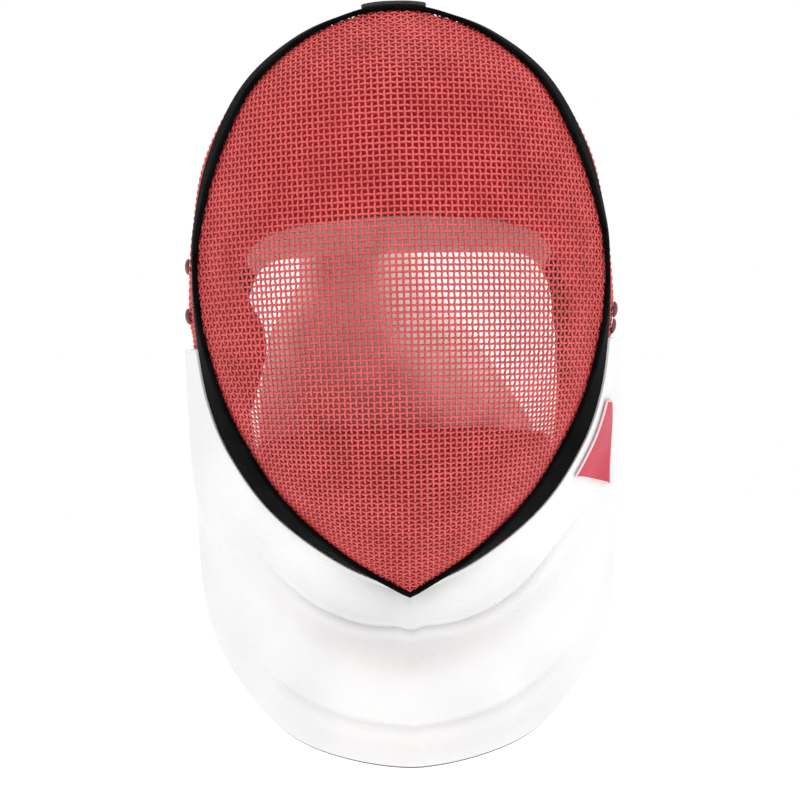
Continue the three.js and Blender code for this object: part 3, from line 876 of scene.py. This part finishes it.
def crease(lines, down, places, width, fade):
    """A thin valley across the bib with a soft ridge below it, fading in between two lines."""
    around = np.linspace(-0.4, 0.4, 9)
    at = np.mean([np.interp(lines + part, *np.array(places).T) for part in around], axis=0)
    strength = np.clip((lines - fade[0]) / (fade[1] - fade[0]), 0, 1)
    strength = strength * strength * (3 - 2 * strength)
    valley = np.exp(-((down - at) / width)**2)
    ridge = np.exp(-((down - at - 2.5 * width) / (2 * width))**2)
    return CREASE_DEPTH * strength * (0.6 * ridge - valley)


def bib():
    """The white bib: soft folds, two pressed creases, a thread edge in dark grey that is painted edge shade,
    and a seam behind the trim.
    """
    down_lines = np.linspace(0, LAST_LINE, BIB_ROWS)
    lines = np.concatenate([down_lines, down_lines[::-1][1:]])[:, None]
    sides = np.concatenate([np.ones(BIB_ROWS), -np.ones(BIB_ROWS - 1)])[:, None]
    down = np.linspace(0, 1, BIB_COLUMNS)[None, :]
    grid = bib_point(lines, sides, down)
    normal = unit(np.cross(np.gradient(grid, axis=0), np.gradient(grid, axis=1)))
    left_fade = np.where(sides > 0, 1, np.clip((lines - 3) / 1.5, 0, 1))
    folds = crease(lines, down, UPPER_CREASE, 0.013, (2.2, 3.9)) * left_fade
    folds += crease(lines, down, LOWER_CREASE, 0.02, (3.3, 5))
    inner = np.minimum(1, EDGE_FADE * down) * np.minimum(1, EDGE_FADE * (1 - down))
    grid = grid + scaled(normal, folds * inner)
    place = read_table(BIB_LINES, BIB_NAMES, "place", lines[:, 0])
    seam = side_point(place, sides[:, 0], SEAM_WAY, LOOSE_LAYER + BIB_WALL / 2)
    grid = np.concatenate([seam[:, None, :], grid], axis=1)
    piece = grid_piece("bib_cloth", grid, BIB_WALL, 0.6 * MM)
    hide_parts("bib")
    # A thin cord along the hem; its dark grey is painted shade standing in for the shaded outline of the
    # bib's edge.
    hem = grid[:, -1] + unit(grid[:, -1] - grid[:, -3]) * HEM_OUT
    thread = wires("bib_edge_painted_shade", [(hem, normal[:, -1])], HEM_RADIUS)
    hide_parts("bib")
    return piece, thread


# The patch: bib lines at its top and bottom, and shares of the way down them at its front and rear
PATCH_TOP = 1.2
PATCH_BOTTOMS = (2.45, 2.2)
PATCH_FRONT = 0.03
PATCH_REARS = (0.1, 0.4)
PATCH_WALL = 1 * MM
PATCH_BORDER = 0.65 * MM
PATCH_STEPS = 16


def bib_patch():
    """The bare red patch with its sewn border."""
    last = PATCH_STEPS - 1
    drop = np.linspace(0, 1, PATCH_STEPS)[:, None]
    share = np.linspace(0, 1, PATCH_STEPS)[None, :]
    bottom = PATCH_BOTTOMS[0] + (PATCH_BOTTOMS[1] - PATCH_BOTTOMS[0]) * share
    line = PATCH_TOP + (bottom - PATCH_TOP) * drop
    rear = PATCH_REARS[0] + (PATCH_REARS[1] - PATCH_REARS[0]) * drop
    down = PATCH_FRONT + (rear - PATCH_FRONT) * share
    point = bib_point(line, 1, down)
    step = 0.01
    downward = bib_point(line + step, 1, down) - point
    backward = bib_point(line, 1, down + step) - point
    normal = unit(np.cross(downward, backward))
    grid = point + normal * (BIB_WALL / 2 + GAP + FACET_ROOM + PATCH_WALL / 2)
    piece = grid_piece("bib_badge", grid, PATCH_WALL, 0.25 * MM)
    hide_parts("bib_patch")
    around = [(row, 0) for row in range(last)] + [(last, column) for column in range(last)]
    around += [(last - row, last - column) for row, column in around]
    rows, columns = np.array(around).T
    border = cord("badge_border", grid[rows, columns], normal[rows, columns], PATCH_BORDER)
    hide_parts("bib_patch")
    return piece, border


# Rivets: node, place and side
RIVETS = (("rivet_left_upper", 5.7, -1), ("rivet_left_lower", 7.02, -1),
          ("rivet_right_upper", 7.16, 1), ("rivet_right_lower", 7.84, 1))
RIVET_WAY = 0.3
RIVET_RADIUS = 4 * MM
RIVET_HEIGHT = 2 * MM


def rivet(node, place, side):
    """A low dome: half a ball, pressed flat and seated on the wire cloth."""
    bpy.ops.object.select_all(action="DESELECT")
    bpy.ops.mesh.primitive_uv_sphere_add(segments=32, ring_count=16, radius=RIVET_RADIUS)
    piece = bpy.context.active_object
    piece.name = node + "_head"
    bpy.ops.object.mode_set(mode="EDIT")
    bpy.ops.mesh.select_all(action="SELECT")
    bpy.ops.mesh.bisect(plane_co=(0, 0, 0), plane_no=(0, 0, 1), clear_inner=True, use_fill=True)
    bpy.ops.object.mode_set(mode="OBJECT")
    seat = side_point(place, side, RIVET_WAY)
    normal = Vector(unit(side_point(place, side, RIVET_WAY, 1 * MM) - seat))
    turn = normal.to_track_quat("Z", "Y").to_matrix().to_4x4()
    squash = Matrix.Diagonal((1, 1, RIVET_HEIGHT / RIVET_RADIUS, 1))
    place_at = Matrix.Translation(Vector(seat) + normal * LAYER)
    piece.data.transform(place_at @ turn @ squash)
    piece.data.shade_smooth()
    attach(piece, "root")
    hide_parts(node)
    return piece


# Materials


WAVE_SCALE = 0.314
THREAD_DEPTH = 0.12 * MM


class Finish:
    """A material with its shader, and the patterns that drive it."""

    def __init__(self, name, colour, roughness, **sockets):
        self.material = bpy.data.materials.new(name)
        self.material.use_nodes = True
        self.nodes, self.links = self.material.node_tree.nodes, self.material.node_tree.links
        self.shader = self.nodes["Principled BSDF"]
        self.set("Base Color", (*colour, 1))
        self.set("Roughness", roughness)
        for key, value in sockets.items():
            self.set(key.replace("_", " "), value)

    def set(self, socket, value):
        self.shader.inputs[socket].default_value = value

    def node(self, kind, **sockets):
        """A node with its sockets linked to outputs or set to numbers."""
        node = self.nodes.new("ShaderNode" + kind)
        for key, value in sockets.items():
            self.feed(node.inputs[key.replace("_", " ")], value)
        return node

    def feed(self, socket, value):
        if isinstance(value, bpy.types.NodeSocket):
            self.links.new(value, socket)
        else:
            socket.default_value = value

    def maths(self, operation, first, second):
        node = self.node("Math")
        node.operation = operation
        self.feed(node.inputs[0], first)
        self.feed(node.inputs[1], second)
        return node.outputs["Value"]

    def noise(self, scale, detail=3.0):
        place = self.node("TexCoord").outputs["Object"]
        return self.node("TexNoise", Vector=place, Scale=scale, Detail=detail).outputs["Fac"]

    def threads(self, pitch):
        """A plain weave on the piece's UV map, in metres: high where either set of threads is on top."""
        place = self.node("TexCoord").outputs["UV"]
        waves = []
        for direction in ("X", "Y"):
            wave = self.node("TexWave", Vector=place, Scale=WAVE_SCALE / pitch)
            wave.wave_type = "BANDS"
            wave.bands_direction = direction
            waves.append(wave.outputs["Fac"])
        return self.maths("MAXIMUM", *waves)

    def tint(self, pattern, low, high, start=0.35, stop=0.65):
        """Colours the surface between two tones by a pattern."""
        node = self.node("ValToRGB", Fac=pattern)
        ends = node.color_ramp.elements
        ends[0].position, ends[1].position = start, stop
        ends[0].color, ends[1].color = (*low, 1), (*high, 1)
        self.links.new(node.outputs["Color"], self.shader.inputs["Base Color"])

    def bump(self, pattern, strength, distance, under=None):
        node = self.node("Bump", Strength=strength, Distance=distance, Height=pattern)
        if under is not None:
            self.links.new(under, node.inputs["Normal"])
        self.links.new(node.outputs["Normal"], self.shader.inputs["Normal"])
        return node.outputs["Normal"]


def coated_wire():
    finish = Finish("red coated wire", (0.55, 0.06, 0.06), 0.45, Coat_Weight=0.2, Coat_Roughness=0.35)
    finish.tint(finish.noise(60), (0.53, 0.052, 0.052), (0.65, 0.08, 0.08))
    finish.bump(finish.noise(2500, 2), 0.15, 0.1 * MM)
    return finish


def trim_tape():
    finish = Finish("black trim tape", (0.002, 0.0022, 0.0022), 0.65, Specular_IOR_Level=0.02)
    finish.tint(finish.noise(90), (0.0015, 0.0017, 0.0017), (0.004, 0.0043, 0.0043))
    grain = finish.bump(finish.noise(1400, 4), 0.35, 0.25 * MM)
    finish.bump(finish.threads(0.9 * MM), 0.25, 0.15 * MM, grain)
    return finish


def webbing():
    finish = Finish("black webbing", (0.02, 0.021, 0.022), 0.7, Specular_IOR_Level=0.3)
    finish.bump(finish.threads(2 * MM), 0.9, 0.8 * MM)
    finish.tint(finish.noise(600), (0.032, 0.031, 0.031), (0.056, 0.054, 0.054))
    return finish


def cloth(name, low, high, pitch, blotch=40):
    """Matt cloth between two tones, softly uneven, with its threads."""
    finish = Finish(name, high, 0.9, Sheen_Weight=0.25)
    finish.tint(finish.noise(blotch), low, high)
    soft = finish.bump(finish.noise(130, 4), 0.25, 0.6 * MM)
    finish.bump(finish.threads(pitch), 0.5, THREAD_DEPTH, soft)
    return finish


# The tongue's cover: painted light and shade on its inside from its right edge to its left, and how strongly
# its painted emission lights it as a stand-in for light through the cloth
PAINTED_EDGE_LIGHT = ((0, 1), (0.22, 0.48), (0.48, 0.06), (0.8, 0.02), (1, 0.42))
# Painted light: the emission strength and colour of a cover that shines though it is no lamp.
PAINTED_GLOW_STRENGTH = 0.62
PAINTED_GLOW_COLOUR = (1, 0.93, 0.9, 1)
OUTSIDE_TONE = 0.68
# Painted shade by height: the inside is paler towards the top and darker towards the bottom, while the
# outside stays even.
TOP_PAINTED_PALENESS = 0.55
TOP_PAINTED_GLOW_SHARE = 0.85


def tongue_cover(piece, low, high, bottom, top):
    """Pale cloth with painted light and shade on its inside: painted light at the top and edges, painted
    shade towards the bottom and middle, and painted emission standing in for light through the cloth; even
    outside.
    """
    finish = cloth("tongue cover with painted light", low, high, 0.8 * MM)
    place = finish.node("TexCoord")
    height = finish.node("SeparateXYZ", Vector=place.outputs["Object"]).outputs["Z"]
    across = finish.node("SeparateXYZ", Vector=place.outputs["UV"]).outputs["X"]
    # Painted shade: darker towards the bottom of the inside, by height.
    reach = finish.node("MapRange", Value=height, From_Min=bottom, From_Max=top)
    reach.interpolation_type = "SMOOTHSTEP"
    reach = reach.outputs["Result"]
    width = max(corner.uv[0] for corner in piece.data.uv_layers["cloth"].data)
    # Painted light and shade across the inside: brightest at its right edge, shaded through the middle, half
    # lit at its left edge.
    edge = finish.node("ValToRGB", Fac=finish.maths("DIVIDE", across, width))
    edge.color_ramp.interpolation = "EASE"
    stops = edge.color_ramp.elements
    for position, painted_glow in PAINTED_EDGE_LIGHT[1:-1]:
        stops.new(position).color = (painted_glow, painted_glow, painted_glow, 1)
    for stop, (position, painted_glow) in ((stops[0], PAINTED_EDGE_LIGHT[0]), (stops[-1], PAINTED_EDGE_LIGHT[-1])):
        stop.position, stop.color = position, (painted_glow, painted_glow, painted_glow, 1)
    edge = edge.outputs["Color"]
    behind = finish.node("Attribute")
    behind.attribute_name = "behind"
    outside = behind.outputs["Fac"]
    inside = finish.maths("SUBTRACT", 1.0, outside)
    # The painted light and shade fall on the inside only; the outside keeps one even colour.
    painted_paleness = finish.maths("ADD", finish.maths("MULTIPLY", reach, TOP_PAINTED_PALENESS), edge)
    tone_and_painted_light = finish.maths("ADD", finish.maths("MULTIPLY", painted_paleness, inside),
                        finish.maths("MULTIPLY", outside, OUTSIDE_TONE))
    finish.tint(tone_and_painted_light, low, high, 0.0, 1.1)
    # Painted emission: the inside's edges and top shine as though lit through the cloth, though it is no
    # lamp.
    fade = finish.maths("ADD", finish.maths("MULTIPLY", reach, TOP_PAINTED_GLOW_SHARE), 1 - TOP_PAINTED_GLOW_SHARE)
    painted_glow = finish.maths("MULTIPLY", finish.maths("MULTIPLY", edge, fade), PAINTED_GLOW_STRENGTH)
    finish.links.new(finish.maths("MULTIPLY", painted_glow, inside), finish.shader.inputs["Emission Strength"])
    finish.set("Emission Color", PAINTED_GLOW_COLOUR)
    return finish


def rivet_metal():
    finish = Finish("dark rivet", (0.12, 0.02, 0.026), 0.45, Metallic=0.3)
    finish.tint(finish.noise(300), (0.09, 0.014, 0.018), (0.2, 0.036, 0.042))
    finish.bump(finish.noise(1800), 0.2, 0.1 * MM)
    return finish


def dress(piece, finish):
    piece.data.materials.clear()
    piece.data.materials.append(finish.material)


# Camera, light and floor


def camera():
    data = bpy.data.cameras.new("camera")
    data.lens = LENS
    data.sensor_width = SENSOR
    item = bpy.data.objects.new("camera", data)
    bpy.context.scene.collection.objects.link(item)
    back = Vector((math.sin(CAMERA_AZIMUTH), -math.cos(CAMERA_AZIMUTH), 0))
    pixel = SENSOR / LENS * CAMERA_DISTANCE / FRAME_SIZE
    aim = Vector(((FRAME_SIZE / 2 - CENTRE_PIXEL) * pixel, -NOSE_FORWARD, CAMERA_HEIGHT))
    look = (-back).to_track_quat("-Z", "Y").to_matrix().to_4x4()
    item.matrix_world = (Matrix.Translation(aim + back * CAMERA_DISTANCE) @ look
                         @ Matrix.Rotation(-CAMERA_ROLL, 4, "Z"))
    bpy.context.scene.camera = item


def area_light(name, location, target, size, power):
    data = bpy.data.lights.new(name, "AREA")
    data.energy = power
    data.size = size
    item = bpy.data.objects.new(name, data)
    bpy.context.scene.collection.objects.link(item)
    item.location = location
    item.rotation_euler = (Vector(target) - Vector(location)).to_track_quat("-Z", "Y").to_euler()


FLOOR_DROP = -0.5


def studio():
    world = bpy.data.worlds.new("studio")
    world.use_nodes = True
    world.node_tree.nodes["Background"].inputs["Color"].default_value = (1, 1, 1, 1)
    world.node_tree.nodes["Background"].inputs["Strength"].default_value = 1.0
    bpy.context.scene.world = world
    area_light("key light", (0.6, -1.2, 0.7), (0, 0, -0.12), 0.7, 4.5)
    area_light("top light", (-0.1, -0.2, 1.2), (0, 0, -0.1), 0.9, 6)
    bpy.ops.object.select_all(action="DESELECT")
    bpy.ops.mesh.primitive_plane_add(size=12, location=(0, 0, FLOOR_DROP))
    floor = bpy.context.active_object
    floor.name = "floor"
    dress(floor, Finish("pale floor", (0.9, 0.9, 0.9), 0.9,
                        Emission_Color=(1, 1, 1, 1), Emission_Strength=0.35))
    bpy.context.scene.view_settings.view_transform = "Standard"
    bpy.context.scene.view_settings.look = "None"


camera()
studio()

red_wire = coated_wire()
for wire_set in (*woven_face(), *woven_sides()):
    dress(wire_set, red_wire)
dress(front_trim(), trim_tape())
dress(crown_tab(), webbing())
dress(crown_lining(), cloth("dark red lining", (0.52, 0.018, 0.026), (0.64, 0.028, 0.04), 0.9 * MM))
pale = cloth("pale binding", (0.72, 0.55, 0.52), (0.84, 0.68, 0.65), 0.8 * MM)
dress(binding("crown_hem_tape", *crown_stations(HEM_PLACE, HEM_COUNT), "pale_binding", "crown_hem"), pale)
dark = cloth("dark binding", (0.06, 0.006, 0.009), (0.1, 0.01, 0.014), 0.8 * MM)
dress(binding("rear_edge_tape", *loop_stations(HEM_PLACE + JOINT_SHARE, LAST_ROW, REAR_COUNT),
              "dark_binding", "rear_binding"), dark)
spring_tongue = tongue()
# The cover's dark red end is painted shade inside the mask; its near white end is the cloth's own colour with
# painted light.
dress(spring_tongue, tongue_cover(spring_tongue, (0.52, 0.09, 0.09), (0.92, 0.84, 0.82), -0.2, -0.115))
dress(nape_pad(), cloth("dark red nape pad", (0.38, 0.026, 0.03), (0.47, 0.038, 0.042), 1.0 * MM))
bib_cloth, bib_shade_thread = bib()
dress(bib_cloth, cloth("white bib cloth", (0.71, 0.71, 0.71), (0.755, 0.755, 0.752), 0.9 * MM, blotch=25))
# Dark grey thread on the bib's edge: painted shade along its outline.
dress(bib_shade_thread, cloth("painted edge shade thread", (0.14, 0.14, 0.145), (0.2, 0.2, 0.205), 0.6 * MM))
badge, badge_border = bib_patch()
dress(badge, cloth("red patch", (0.42, 0.018, 0.045), (0.52, 0.03, 0.065), 0.7 * MM))
dress(badge_border, cloth("pale border thread", (0.72, 0.42, 0.45), (0.85, 0.6, 0.62), 0.6 * MM))
metal = rivet_metal()
for rivet_place in RIVETS:
    dress(rivet(*rivet_place), metal)
